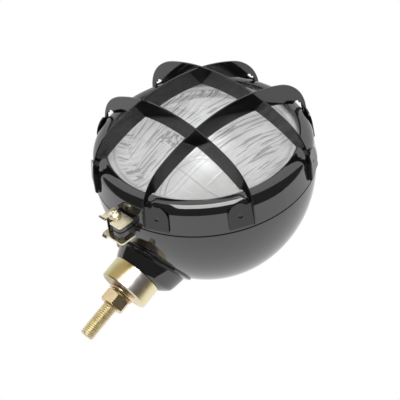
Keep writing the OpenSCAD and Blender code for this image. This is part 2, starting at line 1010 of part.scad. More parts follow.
// Zinc-plated cup whose edge seats on the dome
module pivot_cup() {
    base_t = 3.5;
    edge = 0.8;
    color("#d3bd83")
    mount()
        difference() {
            translate([0, 0, cup_z])
                rotate_extrude()
                    polygon([
                        [0, 0],
                        [cup_r - edge, 0],
                        [cup_r, edge],
                        [cup_r, cup_h + cup_wall],
                        [0, cup_h + cup_wall]
                    ]);
            translate([0, 0, ball_z])
                sphere(r = seat_r, $fn = 180);
            translate([0, 0, cup_z + base_t])
                cylinder(h = cup_h * 2, r = cup_r - cup_wall);
            translate([0, 0, cup_z - 1])
                cylinder(h = cup_h, r = stud_bore_r);
        }
}

// Washer with a spherical face, between the stud's head and the dome
module ball_washer() {
    color("#8e9194")
    mount()
        difference() {
            intersection() {
                translate([0, 0, ball_z])
                    sphere(r = dome_inner_r - seat_gap, $fn = 180);
                translate([0, 0, head_z - seat_gap / 3 - ball_washer_h])
                    cylinder(h = ball_washer_h, r = ball_washer_r);
            }
            translate([0, 0, head_z - 2 * ball_washer_h])
                cylinder(h = 3 * ball_washer_h, r = stud_bore_r);
        }
}

// Stud with a hexagonal head inside the dome, and a fine relief that marks its free length
module stud() {
    chamfer = 0.4;
    relief = 0.3;
    relief_z = stud_free - 1.4;
    color("#cdb775")
    mount() {
        rotate_extrude()
            polygon([
                [0, 0],
                [stud_r - chamfer, 0],
                [stud_r, chamfer],
                [stud_r, relief_z],
                [stud_r - relief, relief_z + relief],
                [stud_r - relief, relief_z + 1],
                [stud_r, relief_z + 1 + relief],
                [stud_r, head_z + 1],
                [0, head_z + 1]
            ]);
        translate([0, 0, head_z])
            cylinder(h = head_h, d = head_af / cos(30), $fn = 6);
    }
}

// One loose turn of a square-wire spring washer, split at its ends
module spring_washer() {
    turns = 0.97;
    steps = 48;
    inner = stud_r + 0.4;
    outer = inner + spring_band_w;
    clear = 0.15;
    rise = spring_h - spring_wire - 2 * clear;
    color("#c2a765")
    mount()
        translate([0, 0, spring_z + clear])
            washer_coil(steps, turns, inner, outer, rise);
}

// Square-wire coil as one closed skin
module washer_coil(steps, turns, inner, outer, rise) {
    ring = [for (i = [0:steps])
        let (a = 360 * turns * i / steps, z = rise * i / steps)
        for (p = [[inner, 0], [outer, 0], [outer, spring_wire], [inner, spring_wire]])
            [p[0] * cos(a), p[0] * sin(a), z + p[1]]];
    sides = [for (i = [0:steps - 1]) for (k = [0:3])
        let (a = 4 * i + k, b = 4 * i + (k + 1) % 4)
        each [[a, b, b + 4], [a, b + 4, a + 4]]];
    last = 4 * steps;
    ends = [[0, 2, 1], [0, 3, 2], [last, last + 1, last + 2], [last, last + 2, last + 3]];
    polyhedron(points = ring, faces = [for (f = concat(sides, ends)) [f[2], f[1], f[0]]]);
}

// Hexagonal nut with chamfered corners
module hex_nut() {
    corner_r = nut_af / 2 / cos(30);
    bevel = corner_r - nut_af / 2;
    color("#b8975a")
    mount()
        translate([0, 0, nut_z])
            difference() {
                intersection() {
                    cylinder(h = nut_h, r = corner_r, $fn = 6);
                    rotate_extrude()
                        polygon([
                            [0, 0],
                            [nut_af / 2, 0],
                            [corner_r + 0.1, bevel * 0.7],
                            [corner_r + 0.1, nut_h - bevel * 0.7],
                            [nut_af / 2, nut_h],
                            [0, nut_h]
                        ]);
                }
                translate([0, 0, -1])
                    cylinder(h = nut_h + 2, r = stud_bore_r);
            }
}

housing();
saddle_bracket();
housing_lug();
cable_grommet();
seam_gasket();
rim();
rim_lug();
guard_strip_right();
guard_strip_left();
guard_strip_top();
guard_strip_bottom();
lens();
lens_gasket();
reflector();
retaining_clips();
bulb_glass();
bulb_filament();
bulb_base();
bulb_spring_cap();
bulb_connector();
clamp_plate_upper();
clamp_plate_lower();
clamp_washer();
clamp_screw();
pivot_cup();
ball_washer();
stud();
spring_washer();
hex_nut();
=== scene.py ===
"""Tractor headlight with a strip guard: its looks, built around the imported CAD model.

Pieces are given in millimetres, and two frames turn them into the row frame in metres.
The optical frame has x right, y up and z forward, with zero at the seam of the bowl.
The stud frame has z along the stud, with zero at its free end.
The camera and the studio are given in metres, in the row frame.
"""

import json
import math

import bpy
import numpy as np
from mathutils import Matrix, Vector


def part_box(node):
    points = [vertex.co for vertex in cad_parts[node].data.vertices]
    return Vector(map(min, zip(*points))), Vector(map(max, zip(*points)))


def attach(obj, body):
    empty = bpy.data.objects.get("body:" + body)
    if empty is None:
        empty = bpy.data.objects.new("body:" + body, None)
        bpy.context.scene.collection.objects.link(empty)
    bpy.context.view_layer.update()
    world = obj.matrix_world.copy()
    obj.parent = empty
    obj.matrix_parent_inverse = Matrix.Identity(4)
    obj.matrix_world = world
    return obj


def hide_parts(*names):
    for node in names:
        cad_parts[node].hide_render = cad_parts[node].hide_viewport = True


MM = 0.001

# Camera, from the photograph's perspective
CAMERA_AT = (0.7414, -0.8644, -0.4972)
CAMERA_RIGHT = (0.701, 0.093, 0.707)
CAMERA_DOWN = (0.408, 0.761, -0.504)
CAMERA_LENS = 144.0
CAMERA_SENSOR = 36.0
CAMERA_CLIP = (0.02, 30.0)

# Studio
FLOOR_Z = -0.95
FLOOR_SIZE = 9.0
WHITE = 1.0
DIFFUSE_LEVEL = 0.85
LAMP_CENTRE = Vector((0, -0.08, 0.14))

# Dark card: its reach is in degrees to the picture's left, right, top and bottom
DARK_REACH = (110, 104, 34, 54)
DARK_CORNERS = 2.2
DARK_DISTANCE = 1.05
DARK_RINGS = 16
DARK_AROUND = 64

# Softbox: its place is in degrees to the picture's right and top
SOFTBOX_PLACE = (-5, 26)
SOFTBOX_DISTANCE = 0.95
SOFTBOX_SIZE = (0.75, 0.55)
SOFTBOX_RADIANCE = 5.0

# Finishes, in metres
EDGE_R = 0.3 * MM
GRAIN_H = 0.03 * MM
GLASS_IOR = 1.33

# Cup's film, partly its own tint and partly a painted highlight (the near-white middle) and painted
# shade (the darker sides): its colours at shares of the way across the cup, and the degrees that this way is
# turned about the stud
CUP_TINTS_AND_HIGHLIGHT = (
    (0.02, (0.60, 0.58, 0.34)), (0.14, (0.42, 0.33, 0.13)), (0.27, (0.45, 0.34, 0.15)),
    (0.38, (0.80, 0.66, 0.56)), (0.50, (0.97, 0.93, 0.90)), (0.60, (0.98, 0.88, 0.80)),
    (0.72, (0.92, 0.76, 0.58)), (0.82, (0.80, 0.69, 0.40)), (0.93, (0.86, 0.79, 0.52)),
)
CUP_HIGHLIGHT_TURN = 38.0

# Glass
GLASS_T = 3.6
GLASS_UNDER_LIP = 3.6
GLASS_RING_W = 13.0
GLASS_FILLET_H = 0.28
GLASS_FILLET_W = 2.2
GLASS_AROUND = 480
GLASS_OUTER_ROWS = 22
GLASS_INNER_ROWS = 118
# Rows of points past the foot of the dome
GLASS_RING_ROWS = (0.0, 0.8, 2.0, 5.0)
# How far from the rim of the glass the pressed pattern fades out
PATTERN_END = (8, 10)
PATTERN_EDGE = 1.2

# Flutes: the lean is sideways over upwards, and grows from one place to another at the left
FLUTE_ROOM = 0.9
FLUTE_PITCH = 3.5
FLUTE_LEAN = 0.36
FLUTE_LEAN_REACH = (5, 45)
FLUTE_SCALLOP = 0.85
FLUTE_SHALLOWEST = 0.45
FLUTE_COUNT = 200
FLUTE_SEED = 7

# Patch of crossed prisms
PRISM_CENTRE = (-12, -21)
PRISM_HALF = (10.5, 6.5)
PRISM_PITCH = (2.2, 3.0)
PRISM_H = 0.34

# Waves round the lower left: where they start and end, in millimetres and degrees
WAVE_BAND = ((50, 53), (68.5, 65))
WAVE_TURN = ((-172, -165), (-86, -92))
WAVE_H = 0.8
WAVE_PITCH_DEGREES = 7.0
WAVE_SLANT = 15.0

# Clear sector with its thin lines and a double arc
SECTOR_TURN = ((-84, -82), (-22, -24))
SECTOR_START = (30, 31)
UPRIGHT_LINES = (21, 25, 41)
LEVEL_LINES = (-38, -49)
BOW_CENTRE = (42, -42)
BOW_RADII = (27, 31)
BOW_END = 30
# Width and depth of the grooves
LINE_GROOVE = (0.6, 0.4)
BOW_GROOVE = (0.7, 0.5)

# Drawn marks of painted shade on the glass, where its pressed pattern would shade: where each starts and ends
PRISM_SHADE_MARKS = (((-23, -22), (-3, -2)), ((-28, -27), (-15, -14)))
SECTOR_FADE = ((3, 7), (-12, -20))
LOW_LEFT_FADE = ((0, -6), (4, -4))
HOOK_BAND = ((54, 56), (66, 67))
HOOK_ARC_R = 60
HOOK_SLANT = 0.5
FLUTE_MARKS_END = (56, 58)
ALL_MARKS_END = (67, 69)
# Shade beside the sector's grooves, and round the outer ring
LINE_SHADES = (("across", 22, 0.3), ("across", 26, 0.3), ("up", -39, 0.3),
               ("bow", 28, 0.55), ("bow", 32, 0.4))
RING_TONES = ((67.2, 1.0), (69.44, 0.5), (70.8, 1.0), (72.96, 0.96), (74.24, 0.45))
RING_REACH = 80.0

# Turned pieces: points round them, the slack between a thread and its plain CAD rod, and
# where the thread's flank starts and ends, from the middle of a root to that of a crest
AROUND = 72
THREAD_SLACK = 0.03
THREAD_FLANK = (0.24, 0.86)

# Stud and its washer
STUD_R = 6.0
STUD_PITCH = 1.75
STUD_THREAD_DEPTH = 1.0
STUD_CHAMFER = 1.0
STUD_INTO_HEAD = 0.5
STUD_HEAD_ACROSS = 18.0
STUD_HEAD_H = 7.0
STUD_HEAD_BEVEL = 1.2
WASHER_GAP = 0.4
WASHER_REACH = 4.8
WASHER_WIRE = 2.5
WASHER_EDGE = 0.3
WASHER_TURNS = 0.97
WASHER_STEPS = 160

# Clamp screw
SCREW_R = 2.5
SCREW_PITCH = 0.8
SCREW_THREAD_DEPTH = 0.42
SCREW_CHAMFER = 0.5
SCREW_INTO_HEAD = 0.3
SCREW_HEAD_H = 3.1
SCREW_HEAD_EDGE = 0.2
SCREW_DOME = 1.4
SCREW_ROWS = 26
RECESS_HALF_W = 0.55
RECESS_REACH = 2.7
RECESS_DEPTH = 1.7
RECESS_FLOOR = 1.6

# Filament
FILAMENT_SPREAD = 5.0
FILAMENT_BELOW_TOP = 1.0
SUPPORT_R = 0.4
COIL_WIRE_R = 0.16
COIL_R = 0.6
COIL_TURNS = 11
COIL_STEPS = 12

# Seam seal, whose dark bead and extra-dark rubber stand in for the shade in the seam gap
SEAL_FLAT_W = 2.0
SEAL_STEP = 0.1
SEAL_BEAD_OUT = 0.15
SEAL_BEAD_W = 0.5
SEAL_BEAD_H = 0.9
SEAL_BEAD_TURN = 110
SEAL_BEAD_STEPS = 14
SEAL_AROUND = 240

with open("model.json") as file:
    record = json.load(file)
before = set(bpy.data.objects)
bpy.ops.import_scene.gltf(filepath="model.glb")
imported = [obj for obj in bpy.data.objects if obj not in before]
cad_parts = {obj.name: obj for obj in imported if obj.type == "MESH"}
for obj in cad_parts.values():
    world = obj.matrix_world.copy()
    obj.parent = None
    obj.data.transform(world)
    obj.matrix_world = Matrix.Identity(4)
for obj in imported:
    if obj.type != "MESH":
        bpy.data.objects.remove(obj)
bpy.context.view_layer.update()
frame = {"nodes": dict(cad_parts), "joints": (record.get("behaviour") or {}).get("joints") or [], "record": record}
nodes = frame["nodes"]


# Frames


def placed(at, *columns):
    """A frame at a place, with the given axes."""
    turn = Matrix([[c[i] for c in columns] for i in range(3)])
    return Matrix.Translation(at) @ turn.to_4x4()


def optical_frame():
    """From millimetres about the optical axis to the row frame."""
    low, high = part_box("seam_gasket")
    right, up, forward = Vector((1, 0, 0)), Vector((0, 0, 1)), Vector((0, -1, 0))
    return placed((low + high) / 2, right * MM, up * MM, forward * MM)


def stud_frame():
    """From millimetres along the stud to the row frame, whose origin is the stud's free end."""
    axis = next(Vector(j["axis"]) for j in frame["joints"] if j["name"] == "swivel")
    side = Vector((1, 0, 0))
    return placed((0, 0, 0), side * MM, axis.cross(side) * MM, axis * MM)


OPTICAL = optical_frame()
STUD = stud_frame()


def node_box(node, place):
    """A node's lowest and highest corners as they lie in one of the frames."""
    inverse = place.inverted()
    points = [inverse @ v.co for v in nodes[node].data.vertices]
    return [Vector([pick(p[i] for p in points) for i in range(3)]) for pick in (min, max)]


# Meshes


def make_piece(name, shape, place, body, replaced, slot, finish=None, sharp=35, second=None):
    """A mesh piece in place of CAD nodes, from millimetre points in one of the frames.
    It takes the finish of its slot where none is named. A second finish is a pair:
    its name, and the faces that it covers."""
    points, faces = shape
    mesh = bpy.data.meshes.new(name)
    mesh.from_pydata([place @ Vector(p) for p in points], [], faces)
    mesh.validate()
    mesh.update()
    mesh.shade_smooth()
    mesh.set_sharp_from_angle(angle=math.radians(sharp))
    made = bpy.data.objects.new(name, mesh)
    bpy.context.scene.collection.objects.link(made)
    mesh.materials.append(FINISH[finish or slot])
    if second:
        second_finish, covered = second
        mesh.materials.append(FINISH[second_finish])
        for face in covered:
            mesh.polygons[face].material_index = 1
    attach(made, body)
    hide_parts(*replaced)


def ring(around, z, radius):
    """Points round the z axis, at a radius that is a number or a function of the angle."""
    points = []
    for k in range(around):
        a = 2 * math.pi * k / around
        r = radius(a) if callable(radius) else radius
        points.append((r * math.cos(a), r * math.sin(a), z))
    return points


def ring_faces(rows, around, start=0):
    """Quads between rows of points that go round an axis."""
    faces = []
    for i in range(rows - 1):
        for k in range(around):
            a, b = start + i * around + k, start + i * around + (k + 1) % around
            faces.append((a, b, b + around, a + around))
    return faces


def fan(centre, start, around, turned=False):
    """Triangles from a centre point to a ring of points, turned over for a lower end."""
    faces = [(centre, start + k, start + (k + 1) % around) for k in range(around)]
    return [(c, b, a) for c, a, b in faces] if turned else faces


def arc(centre, wide, high, start, end, steps):
    """Points of an elliptic arc in a profile, angles in degrees."""
    angles = [math.radians(start + (end - start) * i / steps) for i in range(steps + 1)]
    return [(centre[0] + wide * math.cos(a), centre[1] + high * math.sin(a)) for a in angles]


def tube(path, radius, around=12):
    """Points and faces of a round wire along a path of points, with flat ends."""
    path = [Vector(p) for p in path]
    points = []
    side = None
    for i, p in enumerate(path):
        ahead = path[min(i + 1, len(path) - 1)] - path[max(i - 1, 0)]
        ahead.normalize()
        if side is None:
            side = ahead.orthogonal().normalized()
        side = (side - ahead * side.dot(ahead)).normalized()
        other = ahead.cross(side)
        for k in range(around):
            a = 2 * math.pi * k / around
            points.append(tuple(p + radius * (math.cos(a) * side + math.sin(a) * other)))
    return points, ring_faces(len(path), around) + flat_ends(len(path), around)


def flat_ends(rows, around):
    """The two faces that close rows of points at their ends."""
    last = (rows - 1) * around
    return [tuple(range(around))[::-1], tuple(range(last, last + around))]


def join(*parts):
    """One list of points and one of faces from several."""
    points, faces = [], []
    for more_points, more_faces in parts:
        base = len(points)
        points += list(more_points)
        faces += [tuple(base + i for i in f) for f in more_faces]
    return points, faces


# Materials


def grey(tone):
    """A colour of that tone."""
    return (tone, tone, tone)


class Look:
    """A material's node tree, with the few calls that the finishes here need."""

    def __init__(self, name):
        self.material = bpy.data.materials.new(name)
        self.material.use_nodes = True
        self.tree = self.material.node_tree
        self.shader = self.tree.nodes["Principled BSDF"]
        self.where = self.add("ShaderNodeTexCoord").outputs["Object"]

    def add(self, kind, inputs=(), **settings):
        """A new node, with its settings and inputs."""
        node = self.tree.nodes.new(kind)
        for key, value in settings.items():
            setattr(node, key, value)
        for key, value in dict(inputs).items():
            self.feed(node.inputs[key], value)
        return node

    def feed(self, socket, value):
        """Links another socket, or sets a plain value."""
        if isinstance(value, bpy.types.NodeSocket):
            self.tree.links.new(value, socket)
        else:
            socket.default_value = value

    def set(self, **inputs):
        """The shader's own sockets, by their names with underscores."""
        for key, value in inputs.items():
            self.feed(self.shader.inputs[key.replace("_", " ")], value)

    def noise(self, scale, detail=3.0, stretch=None, roughness=0.5, distortion=0.0, where=None):
        """Noise over the piece, or over other places."""
        where = where or self.where
        if stretch:
            where = self.add("ShaderNodeMapping", {"Vector": where, "Scale": stretch}).outputs[0]
        made = self.add("ShaderNodeTexNoise", {
            "Vector": where, "Scale": scale, "Detail": detail,
            "Roughness": roughness, "Distortion": distortion,
        })
        return made.outputs["Fac"]

    def range(self, value, source, target):
        """A value carried from one pair of ends to another, and held there beyond them."""
        made = self.add("ShaderNodeMapRange", {
            "Value": value, "From Min": source[0], "From Max": source[1],
            "To Min": target[0], "To Max": target[1],
        })
        return made.outputs["Result"]

    def window(self, value, rise, fall):
        """One between two soft edges of a value, and nothing outside them."""
        rising = self.range(value, rise, (0.0, 1.0))
        falling = self.range(value, fall, (1.0, 0.0))
        return self.product(rising, falling)

    def ramp(self, value, *stops):
        """A colour from stops, each its place and its colour."""
        made = self.add("ShaderNodeValToRGB", {"Fac": value})
        points = made.color_ramp.elements
        while len(points) < len(stops):
            points.new(0.5)
        for point, (at, colour) in zip(points, stops):
            point.position = at
            point.color = (*colour, 1)
        return made.outputs["Color"]

    def mix(self, factor, a, b):
        """A colour between two others."""
        made = self.add("ShaderNodeMix", {"Factor": factor}, data_type="RGBA")
        for key, value in (("A", a), ("B", b)):
            socket = next(i for i in made.inputs if i.name == key and i.type == "RGBA")
            self.feed(socket, (*value, 1) if isinstance(value, tuple) else value)
        return next(o for o in made.outputs if o.type == "RGBA")

    def math(self, operation, a, b=0.0):
        """One sum of two values, or a function of the first."""
        return self.add("ShaderNodeMath", {0: a, 1: b}, operation=operation).outputs[0]

    def product(self, first, *others):
        """Several values multiplied."""
        for other in others:
            first = self.math("MULTIPLY", first, other)
        return first

    def length(self, a, b):
        """How far a place lies from the middle, from how far it lies aside and above."""
        squares = self.math("ADD", self.product(a, a), self.product(b, b))
        return self.math("SQRT", squares)

    def along(self, direction, centre, unit):
        """How far each point lies along a direction from a centre, in units of so many metres."""
        offset = self.add("ShaderNodeVectorMath", {0: self.where, 1: centre}, operation="SUBTRACT")
        dot = self.add("ShaderNodeVectorMath", {0: offset.outputs[0], 1: direction},
                       operation="DOT_PRODUCT")
        return self.product(dot.outputs["Value"], 1 / unit)

    def bump(self, height, distance, strength, normal=None):
        """Normal of a relief whose height runs over that distance, over another normal."""
        inputs = {"Height": height, "Distance": distance, "Strength": strength}
        if normal is not None:
            inputs["Normal"] = normal
        return self.add("ShaderNodeBump", inputs).outputs["Normal"]

    def rounded_edges(self):
        """Normal that rounds sharp edges."""
        return self.add("ShaderNodeBevel", {"Radius": EDGE_R}, samples=4).outputs["Normal"]

    def satin(self, strength, edges=None):
        """Normal of a fine satin grain over another normal."""
        grain = self.noise(1500, detail=2, roughness=0.7)
        return self.bump(grain, GRAIN_H, strength, edges)


def gloss_paint(name="black_paint", ior=1.9):
    """Stoved black enamel: deep gloss with orange peel, faint dust and rubbed patches."""
    look = Look(name)
    peel = look.noise(190, detail=1.5)
    rubbed = look.noise(26, detail=5, roughness=0.62)
    dust = look.noise(900, detail=2)
    colour = look.ramp(rubbed, (0.35, (0.0036, 0.0036, 0.0038)), (0.8, (0.0070, 0.0069, 0.0067)))
    speck = look.range(dust, (0.70, 0.78), (0.0, 0.3))
    patches = look.bump(rubbed, 0.2 * MM, 0.15, look.rounded_edges())
    look.set(
        Base_Color=look.mix(speck, colour, (0.03, 0.03, 0.029)),
        Roughness=look.range(rubbed, (0.3, 0.8), (0.03, 0.11)),
        Normal=look.bump(peel, 0.04 * MM, 0.5, patches),
        IOR=ior,
    )
    return look.material


def rubber(name="dark_rubber", tone=1.0, gloss=0.5):
    """Matt black rubber with a fine grain and a bloom of pale dust."""
    look = Look(name)
    grain = look.noise(1400, detail=2)
    bloom = look.noise(60, detail=4)
    pale = (0.030 * tone, 0.029 * tone, 0.028 * tone)
    look.set(
        Base_Color=look.ramp(bloom, (0.3, grey(0.012 * tone)), (0.85, pale)),
        Roughness=look.range(bloom, (0.3, 0.8), (0.5, 0.72)),
        Normal=look.bump(grain, 0.05 * MM, 0.5),
        Specular_IOR_Level=gloss,
    )
    return look.material


def mirror_coat():
    """Vacuum aluminised sheet with faint spinning marks and haze."""
    look = Look("mirror_coat")
    haze = look.noise(40, detail=4)
    look.set(
        Base_Color=look.ramp(haze, (0.3, grey(0.90)), (0.8, grey(0.96))),
        Roughness=look.range(haze, (0.3, 0.8), (0.22, 0.34)),
        Normal=look.bump(look.noise(300, detail=2), 0.04 * MM, 0.25),
        Metallic=1.0,
    )
    return look.material


def zinc(name, dark, middle, light, rough=(0.22, 0.38), threaded=False):
    """Yellow-passivated zinc: colours that drift over the surface, and a fine satin grain.
    On a thread, whose flanks are narrow, the grain is fainter and no edge is rounded."""
    look = Look(name)
    satin = look.satin(0.15) if threaded else look.satin(0.5, look.rounded_edges())
    drift = look.noise(38, detail=3, roughness=0.6, distortion=0.4)
    blotch = look.noise(210, detail=4)
    colour = look.ramp(drift, (0.28, dark), (0.5, middle), (0.72, light))
    shade = look.range(blotch, (0.3, 0.75), (0.90, 1.04))
    shaded = look.add("ShaderNodeVectorMath", {0: colour, "Scale": shade}, operation="SCALE")
    look.set(
        Base_Color=shaded.outputs[0],
        Roughness=look.range(blotch, (0.25, 0.8), rough),
        Normal=satin,
        Metallic=1.0,
    )
    return look.material


def cup_zinc_and_highlight():
    """The cup's film, from yellow green at the sides through pink to nearly white: partly its own tint, partly a
    painted highlight in the middle and painted shade at the sides.
    """
    look = Look("zinc_cup")
    low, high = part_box("pivot_cup")
    turn = math.radians(CUP_HIGHLIGHT_TURN)
    direction = (STUD.to_3x3() @ Vector((math.cos(turn), math.sin(turn), 0))).normalized()
    across = look.along(direction, (low + high) / 2, (high.x - low.x) / 2)
    drift = look.range(look.noise(45, detail=3, roughness=0.6), (0.3, 0.7), (-0.12, 0.12))
    share = look.range(look.math("ADD", across, drift), (-1.0, 1.0), (0.0, 1.0))
    # painted highlight and shade across the cup, laid over the film's own tint
    look.set(
        Base_Color=look.ramp(share, *CUP_TINTS_AND_HIGHLIGHT),
        Roughness=look.range(look.noise(210, detail=4), (0.25, 0.8), (0.28, 0.40)),
        Normal=look.satin(0.4, look.rounded_edges()),
        Metallic=1.0,
    )
    return look.material


def steel(name, tone=0.6):
    """Bright spring steel with a drawn grain."""
    look = Look(name)
    grain = look.noise(500, detail=3, stretch=(1, 9, 1))
    look.set(
        Base_Color=look.ramp(grain, (0.3, grey(tone * 0.8)), (0.75, (tone, tone, tone * 1.02))),
        Roughness=look.range(grain, (0.3, 0.8), (0.24, 0.4)),
        Normal=look.bump(grain, GRAIN_H, 0.4),
        Metallic=1.0,
    )
    return look.material


def bulb_glass():
    """Thin clear bulb glass, faintly smoked."""
    look = Look("bulb_glass")
    smoke = look.noise(70, detail=3)
    look.set(
        Base_Color=look.ramp(smoke, (0.3, (0.93, 0.95, 0.95)), (0.8, grey(0.99))),
        Roughness=look.range(smoke, (0.3, 0.8), (0.0, 0.05)),
        Normal=look.bump(smoke, 0.2 * MM, 0.1),
        IOR=1.45,
        Transmission_Weight=1.0,
    )
    return look.material


def dark_plastic():
    """Moulded black plug with a matt grain."""
    look = Look("dark_plastic")
    grain = look.noise(700, detail=2)
    tone = look.noise(90, detail=3)
    look.set(
        Base_Color=look.ramp(tone, (0.3, grey(0.018)), (0.8, (0.035, 0.034, 0.033))),
        Roughness=look.range(tone, (0.3, 0.8), (0.35, 0.5)),
        Normal=look.bump(grain, 0.05 * MM, 0.5),
    )
    return look.material


# Finishes of the lamp's glass, whose places are in millimetres from the optical axis


def polished_glass():
    """Outer face of the glass: clear, fire polished and slightly wavy."""
    look = Look("clear_glass")
    wave = look.noise(55, detail=2)
    look.set(
        Base_Color=look.ramp(wave, (0.0, (0.985, 0.99, 0.99)), (1.0, grey(1.0))),
        Roughness=look.range(wave, (0.3, 0.7), (0.0, 0.03)),
        Normal=look.bump(wave, 0.4 * MM, 0.12),
        IOR=GLASS_IOR,
        Transmission_Weight=0.80,
    )
    return look.material


def leaning_place(look, across, up):
    """Places on the glass, sheared at the left as the flutes there lean."""
    near, far = FLUTE_LEAN_REACH
    lean = look.range(across, (-far, -near), (FLUTE_LEAN, 0.0))
    sheared = look.math("ADD", across, look.product(lean, up))
    return look.add("ShaderNodeCombineXYZ", {"X": sheared, "Z": up}).outputs[0]


def prism_shade_marks(look, across, up):
    """Painted shade: dark crossed marks over the patch of small prisms."""
    sides, heights = PRISM_SHADE_MARKS
    inside = look.product(look.window(across, *sides), look.window(up, *heights))
    marks = look.noise(520, detail=1, stretch=(1.0, 1.0, 0.6), roughness=0.4)
    # painted shade of the prisms, darkening the glass's colour
    dark = look.product(inside, look.range(marks, (0.48, 0.52), (0.7, 0.0)))
    return look.math("SUBTRACT", 1.0, dark)


def sector_lines(look, across, up):
    """Shade beside the thin grooves and the double arc in the clear sector."""
    aside = look.math("SUBTRACT", across, BOW_CENTRE[0])
    below = look.math("SUBTRACT", up, BOW_CENTRE[1])
    measures = {"across": across, "up": up, "bow": look.length(aside, below)}
    shade = 0.0
    for measure, at, depth in LINE_SHADES:
        away = look.math("ABSOLUTE", look.math("SUBTRACT", measures[measure], at))
        shade = look.math("MAXIMUM", shade, look.range(away, (0.2, 0.8), (depth, 0.0)))
    return shade


def hook_shade_marks(look, across, up, radius, low_left):
    """Painted shade: short slanted dark marks round the lower left of the glass."""
    turn = look.product(look.math("ARCTAN2", up, across), HOOK_ARC_R)
    slanted = look.math("ADD", turn, look.product(radius, HOOK_SLANT))
    place = look.add("ShaderNodeCombineXYZ", {"X": slanted, "Z": radius}).outputs[0]
    marks = look.noise(300 * MM, detail=1, stretch=(1.0, 1.0, 0.3), distortion=0.5, where=place)
    # painted shade of the waves, darkening the glass's colour
    dark = look.product(look.window(radius, *HOOK_BAND), low_left,
                        look.range(marks, (0.42, 0.45), (0.7, 0.0)))
    return look.math("SUBTRACT", 1.0, dark)


def corner(look, across, up, fades):
    """One over a corner of the glass, and nothing elsewhere."""
    sideways, upright = fades
    return look.product(look.range(across, sideways, (0.0, 1.0)),
                        look.range(up, upright, (0.0, 1.0)))


def ring_tone(look, radius):
    """Shade of the outer ring, where the dome meets the flat edge and the edge meets the seal."""
    stops = ((at / RING_REACH, grey(tone)) for at, tone in RING_TONES)
    shade = look.ramp(look.math("DIVIDE", radius, RING_REACH), *stops)
    return look.add("ShaderNodeRGBToBW", {"Color": shade}).outputs[0]


def fluted_glass_painted_shade():
    """Inner face of the glass: mould-grained, with painted shade in dark streaks along the flutes and dark marks
    over its pattern, standing in for the shade of light bent away by the flutes.
    """
    look = Look("fluted_glass_painted_shade")
    across, up = (look.along(d, OPTICAL.translation, MM) for d in ((1, 0, 0), (0, 0, 1)))
    radius = look.length(across, up)
    place = leaning_place(look, across, up)
    shade_streaks = look.noise(150 * MM, detail=4, stretch=(1.0, 1.0, 0.10), roughness=0.7,
                         distortion=0.25, where=place)
    fine = look.noise(430 * MM, detail=2, stretch=(1.0, 1.0, 0.06), distortion=0.2, where=place)
    drift = look.noise(28, detail=2, stretch=(1.0, 1.0, 0.45))
    # the glass's colour is painted shade: streaks, drift and fine lines darken it where the flutes would bend
    # light away
    tone = look.product(
        look.range(shade_streaks, (0.36, 0.43), (0.55, 1.0)),
        look.range(drift, (0.35, 0.5), (0.84, 1.0)),
        look.range(fine, (0.415, 0.44), (0.25, 1.0)),
        prism_shade_marks(look, across, up),
    )
    # the clear sector at the lower right
    sector = corner(look, across, up, SECTOR_FADE)
    lines = look.product(sector, sector_lines(look, across, up))
    tone = look.math("SUBTRACT", look.math("MAXIMUM", tone, sector), lines)
    # the band of hooks at the lower left, and the plain ring outside it
    low_left = corner(look, across, up, LOW_LEFT_FADE)
    tone = look.math("MAXIMUM", tone, look.range(radius, FLUTE_MARKS_END, (0.0, low_left)))
    tone = look.math("MAXIMUM", tone, look.range(radius, ALL_MARKS_END, (0.0, 1.0)))
    hooks = hook_shade_marks(look, across, up, radius, low_left)
    tone = look.product(tone, hooks, ring_tone(look, radius))
    look.set(
        Base_Color=look.ramp(tone, (0.0, grey(0.0)), (1.0, grey(1.0))),
        Roughness=look.range(shade_streaks, (0.3, 0.7), (0.22, 0.10)),
        Normal=look.bump(fine, 0.2 * MM, 0.5),
        IOR=GLASS_IOR,
        Transmission_Weight=0.52,
    )
    return look.material


def finishes():
    """Every finish by its name, which is that of its slot in the record where it has one."""
    return {
        "black_paint": gloss_paint(),
        "guard_paint": gloss_paint("guard_paint", ior=1.6),
        "dark_rubber": rubber(),
        # extra-dark, low-gloss rubber: painted shade of the seam gap
        "seam_shade_rubber": rubber("seam_shade_rubber", tone=0.35, gloss=0.15),
        "clear_glass": polished_glass(),
        "fluted_glass_painted_shade": fluted_glass_painted_shade(),
        "mirror_coat": mirror_coat(),
        "spring_steel": steel("spring_steel"),
        "bulb_glass": bulb_glass(),
        "filament_wire": steel("filament_wire", 0.5),
        "brass_cap": zinc("brass_cap", (0.60, 0.52, 0.36), (0.70, 0.62, 0.44), (0.78, 0.71, 0.54)),
        "dark_plastic": dark_plastic(),
        "zinc_plate": zinc("zinc_plate", (0.86, 0.74, 0.48), (0.94, 0.85, 0.63),
                           (0.97, 0.92, 0.78)),
        "zinc_thread": zinc("zinc_thread", (0.80, 0.68, 0.40), (0.90, 0.80, 0.54),
                            (0.96, 0.89, 0.70), rough=(0.46, 0.60), threaded=True),
        "zinc_cup": cup_zinc_and_highlight(),
        "zinc_bronze": zinc("zinc_bronze", (0.66, 0.49, 0.26), (0.81, 0.64, 0.38),
                            (0.90, 0.75, 0.50)),
    }


FINISH = finishes()


def dress_nodes():
    """Gives each CAD node the finish of its slot, and the guard's strips their own paint."""
    for part in frame["record"]["subparts"]:
        mesh = nodes[part["node"]].data
        on_guard = part["node"].startswith("guard_strip")
        mesh.materials.clear()
        mesh.materials.append(FINISH["guard_paint" if on_guard else part["material_slot"]])


# Pressed pattern of the glass: each part of it gives its height and where it lies


def smooth_step(low, high, x):
    """From nothing at one end to one at the other, without a kink."""
    t = np.clip((x - low) / (high - low), 0.0, 1.0)
    return t * t * (3 - 2 * t)


def grooves(distance, width, depth):
    """A rounded groove along the line where the distance is nothing."""
    return depth * np.exp(-((distance / width) ** 2))


def between(edges, x):
    """One between a rising and a falling edge."""
    rise, fall = edges
    return smooth_step(*rise, x) * smooth_step(*fall, x)


